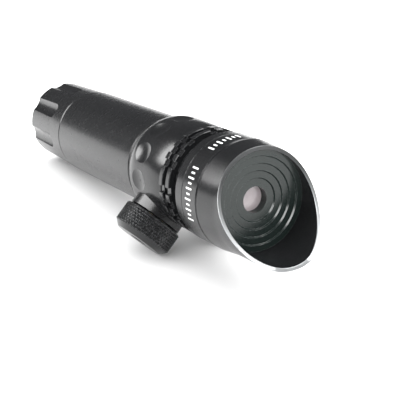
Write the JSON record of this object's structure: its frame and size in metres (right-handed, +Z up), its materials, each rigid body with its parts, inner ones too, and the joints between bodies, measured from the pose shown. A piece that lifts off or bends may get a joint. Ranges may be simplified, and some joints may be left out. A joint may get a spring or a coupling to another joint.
{
  "type": "laser aiming module",
  "caption": "Tubular battery laser module with a slant-cut hood, a stepped dish round its window, two knurled adjuster knobs and a fluted tail cap with a push switch.",
  "frame": {"origin": "on the floor under the middle of the whole module, as it lies on its two knobs and its tail cap", "axes": "+Z up, mouth towards -Y and raised 5.7 degrees, +X to the right seen from the mouth end looking along +Y"},
  "size_m": [0.041, 0.1356, 0.0374],
  "materials": {
    "hood_black": "satin black anodised, bare metal along the cut edge",
    "dish_black": "turned and black anodised, slightly greenish grey",
    "head_black": "satin black anodised with white index marks",
    "collar_black": "satin black anodised",
    "tube_black": "satin black anodised",
    "cap_black": "satin black anodised",
    "turret_black": "fine turned black anodised",
    "knob_black": "diamond knurled black anodised",
    "bare_aluminium": "machined",
    "index_white": "white paint in the head index marks",
    "screw_steel": "plain steel",
    "spring_steel": "bright wire",
    "brass": "turned",
    "diode_can": "gold plated",
    "rubber_black": "matt",
    "button_rubber": "matt, soft",
    "window_glass": "polished",
    "lens_glass": "coated",
    "battery_wrap": "shrink wrap, plain",
    "sleeve_plastic": "natural white",
    "switch_plastic": "moulded",
    "circuit_board": "green solder mask",
    "board_plastic": "glass-fibre laminate"
  },
  "bodies": {
    "housing": {"hood": "hood_black", "stepped_dish": "dish_black", "window": "window_glass", "window_seal": "rubber_black", "window_retainer": "dish_black", "head": "head_black", "pivot_clamp": "dish_black", "neck_seal": "rubber_black", "collar": "collar_black", "collar_seal": "rubber_black", "body_tube": "tube_black", "battery_sleeve": "sleeve_plastic", "battery": "battery_wrap", "windage_turret": "turret_black", "elevation_turret": "turret_black", "windage_seal": "rubber_black", "elevation_seal": "rubber_black", "return_springs": "spring_steel"},
    "windage_adjuster": {"windage_knob": "knob_black", "windage_spindle": "brass", "windage_knob_screw": "screw_steel"},
    "windage_pusher": {"windage_plunger": "screw_steel"},
    "elevation_adjuster": {"elevation_knob": "knob_black", "elevation_spindle": "brass", "elevation_knob_screw": "screw_steel"},
    "elevation_pusher": {"elevation_plunger": "screw_steel"},
    "pivot": {"pivot_ring": "rubber_black"},
    "laser_module": {"laser_barrel": "brass", "lens_cell": "brass", "collimating_lens": "lens_glass", "focus_spring": "spring_steel", "laser_diode": "diode_can", "driver_board": "circuit_board", "end_disc": "board_plastic", "battery_contact": "spring_steel"},
    "cap_seal": {"tail_seal": "rubber_black"},
    "cap": {"tail_cap": "cap_black", "switch_body": "switch_plastic", "switch_retainer": "bare_aluminium", "tail_spring": "spring_steel"},
    "button": {"tail_button": "button_rubber"}
  },
  "joints": [
    {"name": "windage_turn", "type": "hinge", "parent": "housing", "child": "windage_adjuster", "pos_m": [-0.01273, -0.01932, 0.00776], "axis": [-0.7071, -0.0699, -0.7036], "range_deg": [-360, 360]},
    {"name": "windage_travel", "type": "slide", "parent": "housing", "child": "windage_pusher", "axis": [-0.7071, -0.0699, -0.7036], "range_m": [-0.00051, 0.00051]},
    {"name": "elevation_turn", "type": "hinge", "parent": "housing", "child": "elevation_adjuster", "pos_m": [0.01273, -0.01932, 0.00776], "axis": [0.7071, -0.0699, -0.7036], "range_deg": [-360, 360]},
    {"name": "elevation_travel", "type": "slide", "parent": "housing", "child": "elevation_pusher", "axis": [0.7071, -0.0699, -0.7036], "range_m": [-0.00051, 0.00051]},
    {"name": "windage_tilt", "type": "hinge", "parent": "housing", "child": "pivot", "pos_m": [0, -0.04274, 0.02288], "axis": [-0.7071, 0.0699, 0.7036], "range_deg": [-1.2, 1.2]},
    {"name": "elevation_tilt", "type": "hinge", "parent": "pivot", "child": "laser_module", "pos_m": [0, -0.04274, 0.02288], "axis": [-0.7071, -0.0699, -0.7036], "range_deg": [-1.2, 1.2]},
    {"name": "cap_travel", "type": "slide", "parent": "housing", "child": "cap_seal", "axis": [0, 0.9951, -0.0989], "range_m": [0, 0.00601]},
    {"name": "cap_turn", "type": "hinge", "parent": "cap_seal", "child": "cap", "pos_m": [0, 0.05378, 0.01329], "axis": [0, 0.9951, -0.0989], "range_deg": [0, 2160]},
    {"name": "button_press", "type": "slide", "parent": "cap", "child": "button", "axis": [0, -0.9951, 0.0989], "range_m": [0, 0.0012], "stiffness_N_per_m": 1000, "springref_m": -0.0005}
  ],
  "couplings": [
    {"joint": "windage_travel", "follows": "windage_turn", "m_per_rad": 0.000079577},
    {"joint": "elevation_travel", "follows": "elevation_turn", "m_per_rad": 0.000079577},
    {"joint": "windage_tilt", "follows": "windage_turn", "ratio": 0.0032088},
    {"joint": "elevation_tilt", "follows": "elevation_turn", "ratio": 0.0032088},
    {"joint": "cap_travel", "follows": "cap_turn", "m_per_rad": 0.00015915}
  ]
}
